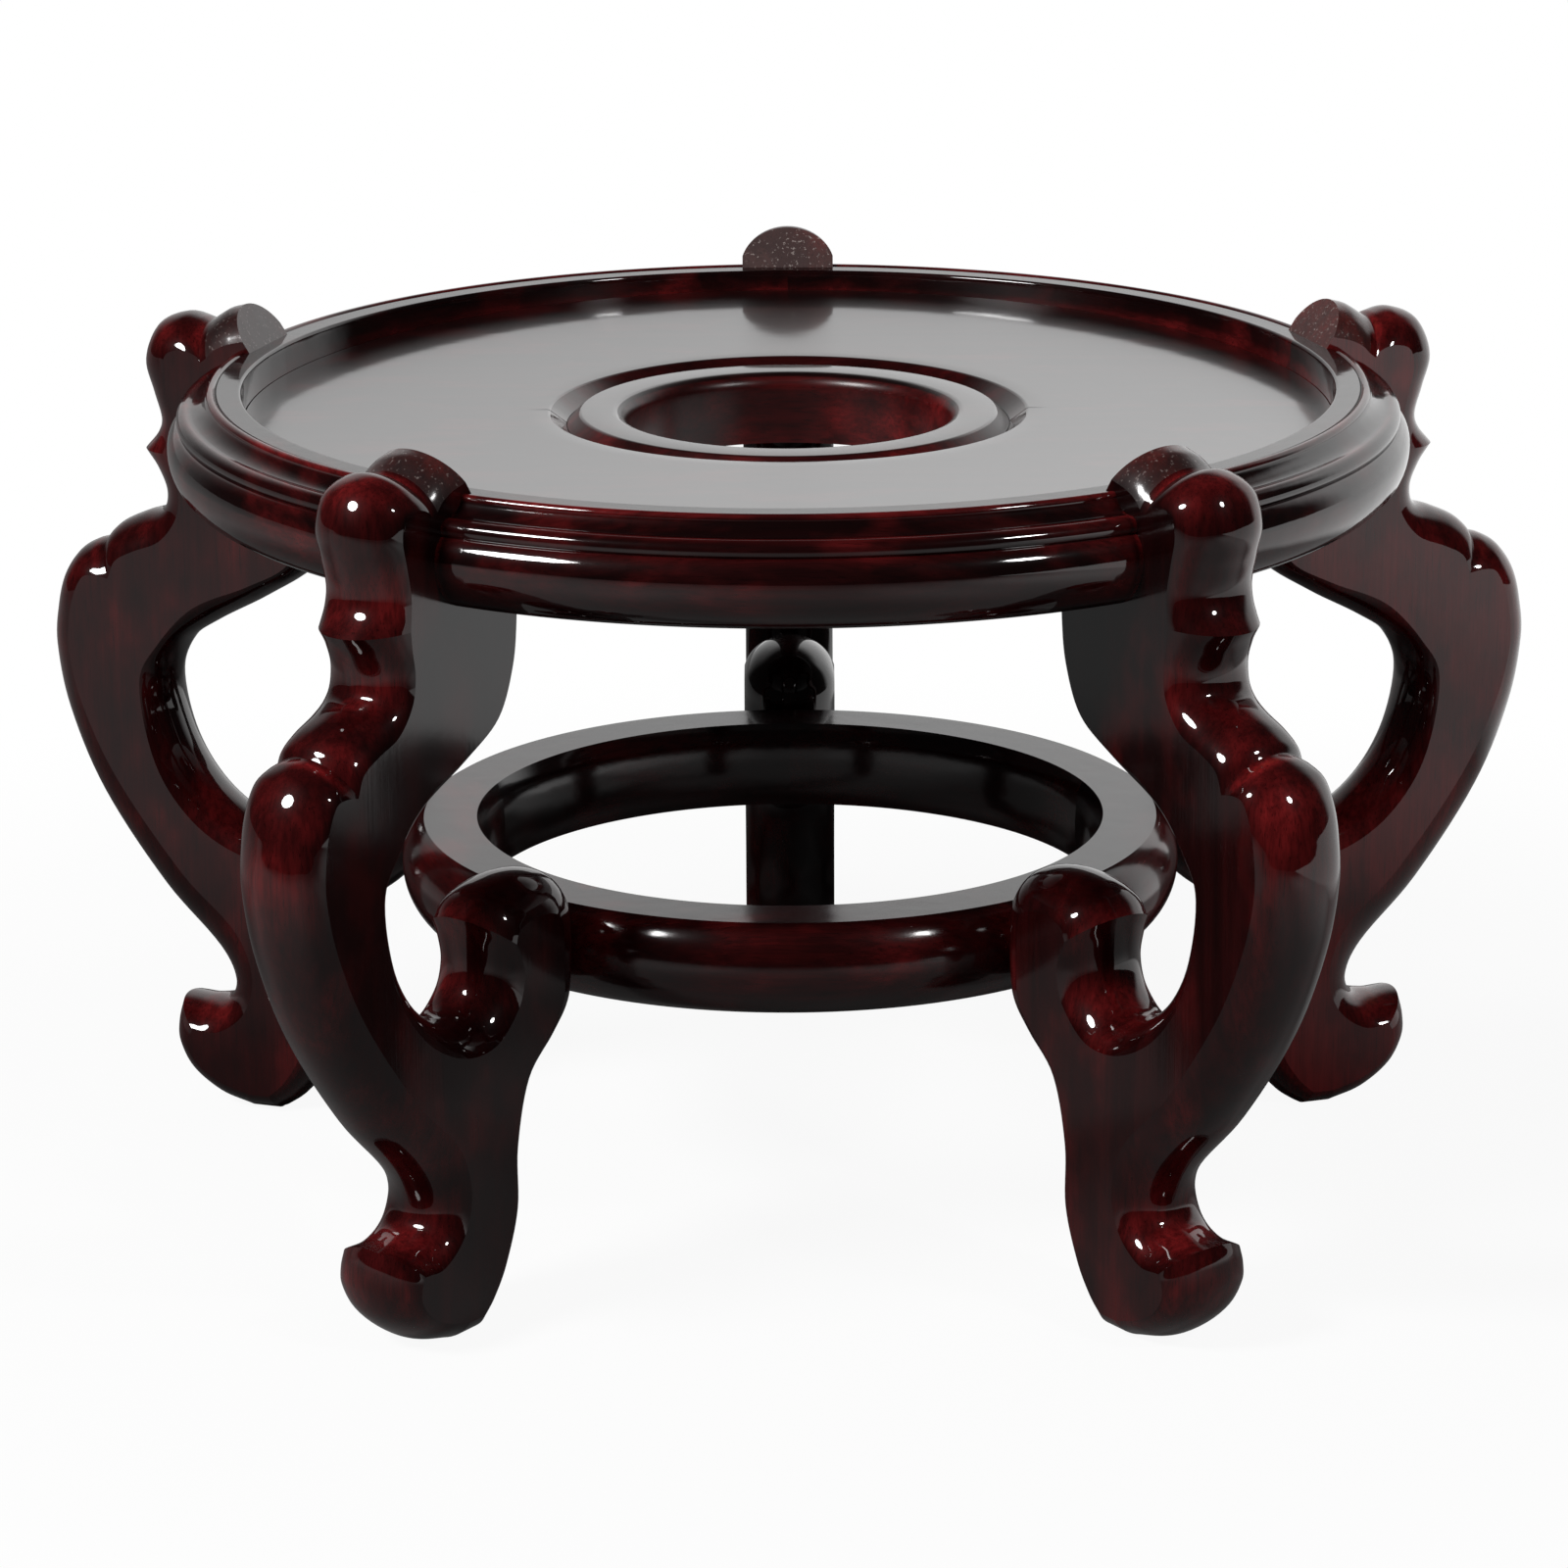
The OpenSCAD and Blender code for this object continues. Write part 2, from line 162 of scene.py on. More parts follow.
def swept(name, profile, angles, grain_of, thin_of, materials, sharp_angle, ring=False,
          is_second=None):
    """A closed profile (radius, height) turned through a list of angles in degrees."""
    n = len(profile)
    verts, grain, thin, faces, marks = [], [], [], [], []
    for a in angles:
        c, s = math.cos(math.radians(a)), math.sin(math.radians(a))
        for k, (r, z) in enumerate(profile):
            p = (r * c, r * s, z)
            verts.append(p)
            grain.append(grain_of(p))
            thin.append(thin_of(k, a))
    turns = len(angles) if ring else len(angles) - 1
    for i in range(turns):
        j = (i + 1) % len(angles)
        for k in range(n):
            m = (k + 1) % n
            faces.append((i * n + k, i * n + m, j * n + m, j * n + k))
            marks.append(1 if is_second and is_second(profile[k], profile[m]) else 0)
    if not ring:
        faces.append(tuple(range(n - 1, -1, -1)))
        faces.append(tuple((len(angles) - 1) * n + k for k in range(n)))
        marks += [0, 0]
    return make(name, verts, faces, grain, thin, materials, marks, sharp_angle)


# Each piece takes its grain from another place in the wood, in millimetres
CHORD_SHIFT_Y = 0.7
BOARD_SHIFT_Y = 0.6
RIM_SHIFT = 173.0
STRETCHER_SHIFT = 231.0
RING_SHIFT = (700, 300)
LEG_SHIFT = (97.0, 131.0, 57.0)


def chord_grain(mid_deg, shift):
    """Grain that runs along the chord of a segment whose middle is at an angle."""
    c, s = math.cos(math.radians(mid_deg)), math.sin(math.radians(mid_deg))
    return lambda p: (-p[0] * s + p[1] * c + shift,
                      p[0] * c + p[1] * s + CHORD_SHIFT_Y * shift, p[2])


# Materials

def node(nt, kind, **values):
    n = nt.nodes.new(kind)
    for key, v in values.items():
        setattr(n, key, v)
    return n


def link(nt, a, b):
    nt.links.new(a, b)


def scaled(nt, vector, factors):
    n = node(nt, "ShaderNodeVectorMath", operation="MULTIPLY")
    link(nt, vector, n.inputs[0])
    n.inputs[1].default_value = factors
    return n.outputs[0]


def noise_of(nt, vector, factors, detail=3.0, roughness=0.55, distortion=0.0):
    n = node(nt, "ShaderNodeTexNoise")
    link(nt, scaled(nt, vector, factors), n.inputs["Vector"])
    n.inputs["Scale"].default_value = 1.0
    n.inputs["Detail"].default_value = detail
    n.inputs["Roughness"].default_value = roughness
    n.inputs["Distortion"].default_value = distortion
    return n.outputs["Fac"]


def ramp(nt, value, a, b, lo=0.0, hi=1.0):
    """Smooth step from lo, where the value is a, to hi, where it is b."""
    n = node(nt, "ShaderNodeMapRange", interpolation_type="SMOOTHSTEP")
    link(nt, value, n.inputs["Value"])
    for key, v in (("From Min", a), ("From Max", b), ("To Min", lo), ("To Max", hi)):
        n.inputs[key].default_value = v
    return n.outputs["Result"]


def math_of(nt, op, a, b, clamp=False):
    n = node(nt, "ShaderNodeMath", operation=op, use_clamp=clamp)
    for k, v in enumerate((a, b)):
        if isinstance(v, (int, float)):
            n.inputs[k].default_value = v
        else:
            link(nt, v, n.inputs[k])
    return n.outputs[0]


def times(nt, a, b):
    return math_of(nt, "MULTIPLY", a, b)


def most(nt, a, b):
    return math_of(nt, "MAXIMUM", a, b)


def mix(nt, fac, a, b):
    n = node(nt, "ShaderNodeMix", data_type="RGBA")
    ends = [s for s in n.inputs if s.type == "RGBA"]
    link(nt, fac, n.inputs[0])
    for s, v in zip(ends, (a, b)):
        if isinstance(v, tuple):
            s.default_value = (*v, 1.0)
        else:
            link(nt, v, s)
    return [s for s in n.outputs if s.type == "RGBA"][0]


DARK = (0.0050, 0.0006, 0.0007)
MID = (0.022, 0.0022, 0.0024)
RED = (0.19, 0.011, 0.012)
ORANGE = (0.36, 0.055, 0.022)
SPECK = (0.36, 0.30, 0.28)
PORE_SHARE = 0.35  # colour of a pore, as a share of the dark

# Noise in the wood, per metre: along the grain and twice across it
FIBRE_SCALE = (18, 850, 850)
FIGURE_SCALE = (5, 70, 70)
PATCH_SCALE = (32, 48, 48)
STREAK_SCALE = (45, 230, 230)
PORE_SCALE = (70, 2300, 2300)
SPECK_SCALE = (900, 900, 900)
WAVE_SCALE = (95, 130, 130)

# Noise values between which each of these comes in
FIGURE_STEP = (0.44, 0.72)
MOTTLE_STEP = (0.5, 0.74)
WORN_STEP = (0.3, 0.6)
STREAK_STEP = (0.3, 0.62)
FIBRE_STEP = (0.35, 0.7)
PORE_STEP = (0.6, 0.72)
SPECK_STEP = (0.60, 0.72)
ORANGE_STEP = (1.0, 2.0)

WORN_LEAST = 0.3
PORES = 0.5
FIBRE_BUMP = 0.25
WAVE_HEIGHT = 0.0005
FIBRE_HEIGHT = 0.00004


def bump(nt, strength, distance, height):
    n = node(nt, "ShaderNodeBump")
    n.inputs["Strength"].default_value = strength
    n.inputs["Distance"].default_value = distance
    link(nt, height, n.inputs["Height"])
    return n


def lacquer(name, dark=DARK, mid=MID, red=RED, coat_rough=0.04, rough=0.38, mottle=0.5,
            wave=0.35, ior=1.5, under=0.02, specks=0.0, satin=0.0, bands=0.5, fibres=0.45):
    """Dark rosewood under a clear coat: fibre, figure, mottled thin finish, slight waves."""
    m = bpy.data.materials.new(name)
    m.use_nodes = True
    nt = m.node_tree
    nt.nodes.clear()
    out = node(nt, "ShaderNodeOutputMaterial")
    bsdf = node(nt, "ShaderNodeBsdfPrincipled")
    link(nt, bsdf.outputs[0], out.inputs[0])
    g = node(nt, "ShaderNodeAttribute", attribute_name="grain").outputs["Vector"]
    thin = node(nt, "ShaderNodeAttribute", attribute_name="thin").outputs["Fac"]
    fibre = noise_of(nt, g, FIBRE_SCALE, detail=4, roughness=0.6)
    figure = noise_of(nt, g, FIGURE_SCALE, detail=4, distortion=1.2)
    patch = noise_of(nt, g, PATCH_SCALE, detail=3, roughness=0.5)
    streak = noise_of(nt, g, STREAK_SCALE, detail=3, roughness=0.6)
    pore = noise_of(nt, g, PORE_SCALE, detail=1)
    # dark ground with streaks of figure
    ground = mix(nt, ramp(nt, figure, *FIGURE_STEP), dark, mid)
    # red shows in patches and where a vertex asks for it, for thin finish and, on the legs, painted
    # light; orange where the amount is highest
    wear_and_painted_light = times(nt, thin, ramp(nt, patch, *WORN_STEP, WORN_LEAST, 1.0))
    amount = math_of(nt, "ADD", ramp(nt, patch, *MOTTLE_STEP, 0.0, mottle), wear_and_painted_light, clamp=True)
    amount = times(nt, amount, ramp(nt, streak, *STREAK_STEP, bands, 1.0))
    colour = mix(nt, amount, ground, red)
    colour = mix(nt, ramp(nt, wear_and_painted_light, *ORANGE_STEP), colour, ORANGE)
    shade = mix(nt, ramp(nt, fibre, *FIBRE_STEP, 0.0, fibres), colour, dark)
    shade = mix(nt, ramp(nt, pore, *PORE_STEP, 0.0, PORES), shade,
                tuple(PORE_SHARE * v for v in dark))
    if specks:
        dots = noise_of(nt, g, SPECK_SCALE, detail=2, roughness=0.6)
        shade = mix(nt, ramp(nt, dots, *SPECK_STEP, 0.0, specks), shade, SPECK)
    link(nt, shade, bsdf.inputs["Base Color"])
    # waves in the coat, and the fibre under it, which only a satin coat follows
    wavy = bump(nt, wave, WAVE_HEIGHT, noise_of(nt, g, WAVE_SCALE, detail=2, roughness=0.45))
    fine = bump(nt, satin or FIBRE_BUMP, FIBRE_HEIGHT, fibre)
    link(nt, wavy.outputs[0], fine.inputs["Normal"])
    link(nt, fine.outputs[0], bsdf.inputs["Normal"])
    link(nt, fine.outputs[0] if satin else wavy.outputs[0], bsdf.inputs["Coat Normal"])
    bsdf.inputs["Roughness"].default_value = rough
    bsdf.inputs["Specular IOR Level"].default_value = under
    bsdf.inputs["Coat Weight"].default_value = 1.0
    bsdf.inputs["Coat Roughness"].default_value = coat_rough
    bsdf.inputs["Coat IOR"].default_value = ior
    return m


leg_mat = lacquer("leg_lacquer", mottle=0.4, wave=0.14)
side_mat = lacquer("leg_side_lacquer", coat_rough=0.12, wave=0.04, mottle=0.25, satin=0.35,
                   bands=0.75, fibres=0.25, ior=1.58)
facet_mat = lacquer("worn_facet", (0.036, 0.016, 0.015), (0.065, 0.028, 0.025),
                    (0.16, 0.026, 0.022), coat_rough=0.32, rough=0.6, mottle=0.7, wave=0.3,
                    ior=1.55, under=0.3, specks=0.8)
block_mat = lacquer("worn_block_top", (0.012, 0.006, 0.006), (0.028, 0.010, 0.009),
                    (0.14, 0.016, 0.013), coat_rough=0.15, rough=0.5, mottle=0.35, wave=0.5,
                    under=0.2, specks=0.35)
rim_mat = lacquer("rim_lacquer", coat_rough=0.06, mottle=0.4, wave=0.14, ior=1.66)
hole_mat = lacquer("hole_wall_lacquer", coat_rough=0.3, mottle=0.6, wave=0.1, ior=1.42)
panel_mat = lacquer("panel_satin_lacquer", coat_rough=0.085, rough=0.3, mottle=0.25, wave=0.06,
                    ior=1.62, under=0.4, satin=0.2)
stretcher_mat = lacquer("stretcher_lacquer", coat_rough=0.12, mottle=0.5, wave=0.12, ior=1.55)

WOOD_DARK = (0.20, 0.085, 0.040)
WOOD_PALE = (0.34, 0.17, 0.085)
WOOD_PORE = (0.09, 0.035, 0.018)
WOOD_ROUGH = 0.62
WOOD_RING_SCALE = (260, 260, 40)
WOOD_PORE_SCALE = (1400, 1400, 80)


def bare_wood():
    """Plain unfinished hardwood for the fixings inside the joints."""
    m = bpy.data.materials.new("bare_hardwood")
    m.use_nodes = True
    nt = m.node_tree
    bsdf = nt.nodes["Principled BSDF"]
    co = node(nt, "ShaderNodeTexCoord").outputs["Object"]
    rings = noise_of(nt, co, WOOD_RING_SCALE, detail=4)
    pore = noise_of(nt, co, WOOD_PORE_SCALE, detail=1)
    shade = mix(nt, ramp(nt, rings, 0.35, 0.7), WOOD_DARK, WOOD_PALE)
    shade = mix(nt, ramp(nt, pore, 0.6, 0.75, 0.0, 0.6), shade, WOOD_PORE)
    link(nt, shade, bsdf.inputs["Base Color"])
    bsdf.inputs["Roughness"].default_value = WOOD_ROUGH
    return m


bare = bare_wood()


# Rim. Places in its section are millimetres in from RIM_R and down from the top

SAME_POINT = 0.02
UPPER_R = 9.0
UPPER_END = 10.3
QUIRK = (3.6, 10.2)
OVOLO_AT = (6.0, 8.4)
OVOLO_R = 3.0
COVE = ((7.2, 5.5), (10.2, 5.0), (11.9, 1.9))
BEAD_AT = (13.6, 1.5)
BEAD_R = 1.5
FLAT_FROM = 15.3
FLAT_TO = 1.4  # out from the wall
EDGE_R = 1.0

# Thin finish along the section
LOWER_THIN = 0.15
UPPER_THIN = [0.0] * 6 + [0.05, 0.1, 0.15, 0.2]
OVOLO_THIN = [0.05 + 0.7 * max(0.0, (k - 8) / 6) ** 2 for k in range(15)]
BEAD_THIN = [0.1 + 0.6 * math.sin(math.pi * k / 12) for k in range(13)]
WALL_HEIGHTS = (8.3, 7.0, 4.5, 3.0, 1.5, 0.0)
WALL_THIN = [0.0, 0.0, 0.05, 0.3, 0.35, 0.4]


def rim_profile():
    """Closed section of the rim, with the vertex thin-finish amount for each point."""
    pts = []

    def at(inward, down):
        return RIM_R - inward, RISE - down

    def add(run, thin=0.0):
        values = thin if isinstance(thin, list) else [thin] * len(run)
        for p, v in zip(run, values):
            if not pts or abs(p[0] - pts[-1][0]) + abs(p[1] - pts[-1][1]) > SAME_POINT:
                pts.append((p[0], p[1], v))

    # half-round, and the ovolo over it
    add([(RECESS, -DROP)])
    add(oval((RIM_R - UNDERCUT, -BELLY), UNDERCUT, DROP - BELLY, -90, 0, 20), LOWER_THIN)
    upper_end = math.degrees(math.asin((RISE - UPPER_END + BELLY) / UPPER_R))
    add(arc((RIM_R - UPPER_R, -BELLY), UPPER_R, 3, upper_end, 9), UPPER_THIN)
    add([at(*QUIRK)])
    add(arc(at(*OVOLO_AT), OVOLO_R, -30, 90, 14), OVOLO_THIN)
    # cove up to a small bead, then the flat top and the steep wall down to the panel
    add(bend(*(at(*p) for p in COVE), 10))
    add(arc(at(*BEAD_AT), BEAD_R, -10, 165, 12), BEAD_THIN)
    wall_top = RECESS + WALL_LEAN * RISE
    flat = RISE - FLAT_DROP
    add([(RIM_R - FLAT_FROM, flat), (wall_top + FLAT_TO, flat)])
    add(arc((wall_top + EDGE_R, flat - EDGE_R), EDGE_R, 90, 178, 9))
    add([(RECESS + WALL_LEAN * z, z) for z in WALL_HEIGHTS], WALL_THIN)
    # groove for the panel's tongue
    groove = RECESS + TONGUE_D
    groove_low = -TONGUE_TOP - TONGUE_T
    add([(RECESS, -TONGUE_TOP), (groove, -TONGUE_TOP), (groove, groove_low),
         (RECESS, groove_low)])
    return [(r, SEAT + z) for r, z, _ in pts], [v for _, _, v in pts]


rim_points, rim_thin = rim_profile()
# degrees from a leg's middle, with close steps at the line where its cheek meets the rim
CHEEK = 4.75
CHEEK_HALF = 0.05
CHEEK_THIN = 0.8
NEAR_LEG = [0.0, 2.0, 4.35, CHEEK, 5.15, 6.0]
RIM_STEPS = 40
rim_clear = SPAN - 2 * NEAR_LEG[-1]
rim_steps = (NEAR_LEG + [NEAR_LEG[-1] + rim_clear * k / RIM_STEPS for k in range(1, RIM_STEPS)]
             + [SPAN - a for a in reversed(NEAR_LEG)])


def rim_tint(k, a, start):
    """Finish is thin along the ridges, and along the line where a leg's cheek meets the rim."""
    near = min(abs(a - start - CHEEK), abs(a - start - (SPAN - CHEEK)))
    at_cheek = near < CHEEK_HALF and rim_points[k][0] > RIM_R - UPPER_R
    return min(1.0, rim_thin[k] + (CHEEK_THIN if at_cheek else 0.0))


for i in LEG_NUMBERS:
    start = leg_angle(i)
    ob = swept(f"rim_moulding_{i}", rim_points, [start + a for a in rim_steps],
               chord_grain(start + SPAN / 2, RIM_SHIFT * i),
               lambda k, a, s=start: rim_tint(k, a, s), [rim_mat], 40)
    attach(ob, "root")
    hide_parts(f"rim_segment_{i}")


# Panel of two boards and the centre ring

PANEL_STEPS = 90
PANEL_ROWS = 16
EDGE_SOFT = 0.3
EDGE_SOFT_D = 0.25
GROOVE_END = 80  # radius that takes in all of the groove
VEE_THIN = 0.15


def panel_profile():
    hub = RING_R - LEDGE_W + GAP
    edge = RECESS - GAP
    tip = edge + TONGUE_D
    tongue_low = SEAT - TONGUE_TOP - TONGUE_T + GAP
    tongue_top = SEAT - TONGUE_TOP - GAP
    flat = edge - EDGE_SOFT
    brink = RING_R + VEE_OUT + BRINK_SOFT
    below = [(hub, SEAT - PANEL_T), (edge, SEAT - PANEL_T)]
    tongue = [(edge, tongue_low), (tip, tongue_low), (tip, tongue_top), (edge, tongue_top)]
    top = [(edge, SEAT - EDGE_SOFT_D), (flat, SEAT)]
    top += [(flat + (brink - flat) * k / PANEL_ROWS, SEAT) for k in range(1, PANEL_ROWS + 1)]
    vee = bend((brink, SEAT), (brink - BRINK_SOFT, SEAT),
               (brink - 2 * BRINK_SOFT, SEAT - 0.4), 3)
    inside = [(RING_R + GAP, SEAT - VEE_D), (RING_R + GAP, SEAT - LEDGE_D), (hub, SEAT - LEDGE_D)]
    return below + tongue + top + vee[1:] + inside


panel_points = panel_profile()
panel_steps = [180.0 * k / PANEL_STEPS for k in range(PANEL_STEPS + 1)]


def panel_tint(k, a):
    """Finish is thin on the wall of the groove."""
    r, z = panel_points[k]
    return VEE_THIN if SEAT - VEE_D - 0.1 < z < SEAT - 0.05 and r < GROOVE_END else 0.0


def cup_and_gape(ob, way):
    """Cup a board a little across its grain, and open its joint where it meets the groove."""
    for v in ob.data.vertices:
        r = math.hypot(v.co.x, v.co.y) / MM
        if v.co.z > (SEAT - 1) * MM and r > RING_R + 1:
            rise = CUP * (v.co.y / (RECESS * MM)) ** 2
            v.co.z += rise * MM
            if r > RECESS - 1:
                wall = RECESS + WALL_LEAN * rise
                v.co.x *= (wall - GAP) / r
                v.co.y *= (wall - GAP) / r
        if abs(v.co.y) < 1e-6 and v.co.z > (SEAT - JOINT_D) * MM and r < JOINT_TO:
            fade = 1 - max(0.0, r - JOINT_FROM) / (JOINT_TO - JOINT_FROM)
            v.co.y += way * JOINT_GAPE * MM * fade


for name, node_name, start, shift, way in (
        ("panel_board_front", "panel_front", 180.0, 60.0, -1),
        ("panel_board_back", "panel_back", 0.0, 410.0, 1)):
    ob = swept(name, panel_points, [start + a for a in panel_steps],
               lambda p, s=shift: (p[0] + s, p[1] + BOARD_SHIFT_Y * s, p[2]), panel_tint,
               [panel_mat, rim_mat], 25,
               is_second=lambda p, q: p[0] < GROOVE_END and min(p[1], q[1]) < SEAT - 0.5)
    cup_and_gape(ob, way)
    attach(ob, "root")
    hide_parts(node_name)

RING_STEPS = 160
RING_MIDDLE = 60
HOLE_THIN = 0.45
HOLE_ROWS = (6, 10, 14, 18)  # down the wall of the hole

vee_top = RING_R - VEE_IN
ring_points = ([(HOLE_R, SEAT - RING_T), (RING_R - LEDGE_W, SEAT - RING_T),
                (RING_R - LEDGE_W, SEAT - LEDGE_D), (RING_R, SEAT - LEDGE_D),
                (RING_R, SEAT - VEE_D)]
               + bend((vee_top + BRINK_SOFT, SEAT - BRINK_SOFT), (vee_top, SEAT),
                      (vee_top - 0.6, SEAT), 3)
               + arc((HOLE_R + HOLE_ROUND, SEAT - HOLE_ROUND), HOLE_ROUND, 90, 180, 12)
               + [(HOLE_R, SEAT - d) for d in HOLE_ROWS])


def ring_tint(k, a):
    """Finish is thin on the wall of the groove, and thinner in the hole."""
    r, z = ring_points[k]
    if r > RING_MIDDLE and SEAT - 5 < z < SEAT - 0.2:
        return VEE_THIN
    return HOLE_THIN if r < HOLE_R + 3 and z < SEAT - 1 else 0.0


ring = swept("centre_ring_turned", ring_points, [360.0 * k / RING_STEPS for k in range(RING_STEPS)],
             lambda p: (p[0] + RING_SHIFT[0], p[1] + RING_SHIFT[1], p[2]), ring_tint,
             [panel_mat, hole_mat], 25, ring=True,
             is_second=lambda p, q: min(p[1], q[1]) < SEAT - 0.6)
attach(ring, "root")
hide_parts("centre_ring")


# Stretcher

STRETCHER_STEPS = 36
OUTSIDE_BAND = 4.5
OUTSIDE_THIN = 0.18
INSIDE_THIN = 0.15
TOP_THIN = 0.04


def stretcher_profile():
    half = STRETCHER_H / 2
    mid = STRETCHER_TOP - half

    def bulge(sag):
        r = (half * half + sag * sag) / (2 * sag)
        return r, math.degrees(math.asin(half / r))

    ro, ao = bulge(BULGE_OUT)
    ri, ai = bulge(BULGE_IN)
    outside = arc((STRETCHER_R - ro, 0), ro, -ao, ao, 18)
    inside = arc((STRETCHER_IN + ri, 0), ri, 180 - ai, 180 + ai, 8)
    top = [(outside[-1][0] - STRETCHER_SOFT, half), (inside[0][0] + STRETCHER_SOFT, half)]
    low = [(inside[-1][0] + STRETCHER_SOFT, -half), (outside[0][0] - STRETCHER_SOFT, -half)]
    pts = outside[1:-1] + top + inside[1:-1] + low
    return [(r, mid + z) for r, z in pts]


stretcher_points = stretcher_profile()
stretcher_steps = [SPAN * k / STRETCHER_STEPS for k in range(STRETCHER_STEPS + 1)]


def stretcher_tint(k, a):
    r, z = stretcher_points[k]
    if r > STRETCHER_R - OUTSIDE_BAND:
        return OUTSIDE_THIN
    return INSIDE_THIN if z < STRETCHER_TOP - 1 else TOP_THIN


for i in LEG_NUMBERS:
    start = leg_angle(i)
    ob = swept(f"stretcher_arc_{i}", stretcher_points, [start + a for a in stretcher_steps],
               chord_grain(start + SPAN / 2, STRETCHER_SHIFT * i), stretcher_tint,
               [stretcher_mat], 30)
    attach(ob, "root")
    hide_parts(f"stretcher_segment_{i}")


# Legs: rows like the solid's, each the crest's place and the flat side's place

def placed(anchor, rows):
    return [(a + anchor[0], b + anchor[1], c + anchor[0], d + anchor[1]) for a, b, c, d in rows]


FROM_RIM = (RIM_R - 2.5, SEAT)
ARCH_FACE = placed(FROM_RIM, [(-17, 6, -17, 6), (-7, 21.5, -12.5, 13)])
ARCH_TOP = placed(FROM_RIM, [
    (-7, 21.5, -12.5, 13), (-3, 20.4, -6.5, 11.5), (-0.5, 19, -2.5, 9.5), (2.5, 17, 0, 7),
    (4.5, 16, 2, 5.5)])
KNOB = placed(FROM_RIM, [
    (4.5, 16, 2, 5.5), (7, 17.2, 3.5, 7.5), (13, 18.2, 8, 9), (21, 14.5, 13.5, 7.5),
    (25.5, 4, 15, 1.5), (23, -6, 13.5, -6), (20.5, -14.5, 12, -14), (22, -19.5, 12, -19),
    (27, -25.3, 12.5, -24.5)])
NECK = placed(FROM_RIM, [
    (27, -25.3, 12.5, -24.5), (22.5, -31, 12, -30), (19.5, -38, 11, -37.5),
    (21, -44, 12.5, -45.5), (28, -46.6, 18.5, -53), (35.5, -50, 28, -57),
    (39.5, -53.3, 34, -60.5), (41.3, -56, 36.5, -66.3)])
SHANK = [NECK[-1]] + placed(SHOULDER, [
    (-14, 32.7, -18.5, 24.5), (-9, 29.6, -14.5, 23.5), (-4, 22.5, -11.3, 17.5),
    (-1.3, 13, -9.5, 10), (0, 0, -9, -2), (-3.5, -22, -13.5, -20), (-14.5, -49.5, -24.5, -43)])
SHANK += placed(FOOT, [
    (35.5, 72, 24.5, 79), (17, 52, 6.5, 60.5), (12, 42, 1.5, 45.5), (14.5, 35.5, 5, 33.5),
    (22.5, 33.8, 14, 26.5), (30.5, 34, 23, 26.5)])
TOE = placed(FOOT, [
    (30.5, 34, 23, 26.5), (32, 28, 24.5, 23.5), (32, 21.5, 24.5, 19), (27.5, 11.5, 20.5, 13.5),
    (17, 3, 13, 9), (5, -SOLE_CUT, 4, 7 - SOLE_CUT)])
SOLE = placed(FOOT, [(5, -SOLE_CUT, 4, 7 - SOLE_CUT), (-4, -SOLE_CUT, -3, 7 - SOLE_CUT)])
POST_SIDE = [SOLE[-1]] + placed(FOOT, [
    (-10.5, 4, -8, 11), (-19, 15, -13.5, 19.5), (-25, 33, -19, 34.5), (-26, 51, -19.5, 53)])
POST_SIDE += placed(POST, [
    (22.5, -45, 30, -41), (10, -34, 19, -30.5), (1.5, -25.5, 13, -23), (-1.5, -14, 12, -14),
    (-1.5, -3, 12, -4), (0, 5.5, 12.5, 1), (5.5, 12.5, 15, 4.5), (14.5, 16, 20.5, 6),
    (26, 16.3, 27, 6), (37, 13.8, 32.5, 4), (43.5, 8, 34, 0.5)])
INNER = placed(POST, [
    (43.5, 8, 34, 0.5), (41.7, 1.5, 32, -4), (41, -8, 30.5, -10), (44, -15, 33.5, -19),
    (51.5, -19.5, 44, -27.5), (62, -16, 59, -27)])
INNER += placed(SHOULDER, [
    (-51, -42, -49.5, -54), (-43, -27, -37.5, -36), (-40, -10, -33, -10), (-45, 2, -39.5, 3)])
INNER += placed(FROM_RIM, [
    (4.5, -80.5, 8, -74), (-13, -71, -11, -65.5), (-28.5, -60.5, -25, -57.5),
    (-37.5, -45, -31.5, -44), (-40, -30, -33.5, -30), (-40, -15, -33.5, -15)])
CLOSING = [INNER[-1]] + placed(FROM_RIM, [(-18, -8, -18, -8)]) + [ARCH_FACE[0]]


def run(rows, steps):
    """Smooth curve through the rows of one run, without its last point."""
    t = [0.0]
    for a, b in zip(rows, rows[1:]):
        t.append(t[-1] + math.sqrt(math.hypot(b[0] - a[0], b[1] - a[1])))

    def slope(i):
        a, b = max(i - 1, 0), min(i + 1, len(rows) - 1)
        return [(q - p) / (t[b] - t[a]) for p, q in zip(rows[a], rows[b])]

    out = []
    for i in range(len(rows) - 1):
        h = t[i + 1] - t[i]
        d0, d1 = slope(i), slope(i + 1)
        for j in range(steps):
            s = j / steps
            out.append(tuple(
                rows[i][k] * (1 + s * s * (2 * s - 3)) + d0[k] * h * s * (1 - s) ** 2
                + rows[i + 1][k] * s * s * (3 - 2 * s) - d1[k] * h * s * s * (1 - s)
                for k in range(4)))
    return out


STEPS = 7
FACE_STEPS = 3
SOLE_STEPS = 2
BLOCK_SPANS = 3  # spans of the arch's top that are worn
runs = [run(ARCH_FACE, FACE_STEPS), run(ARCH_TOP, STEPS), run(KNOB, STEPS), run(NECK, STEPS),
        run(SHANK, STEPS), run(TOE, STEPS), run(SOLE, SOLE_STEPS), run(POST_SIDE, STEPS),
        run(INNER, STEPS), run(CLOSING, 1)]
leg_edge = [p for r in runs for p in r]
# a crease runs across the edge where each run starts
corners = set()
count = 0
for r in runs:
    corners.add(count)
    count += len(r)
ACROSS = 26
TURN = math.radians(75)
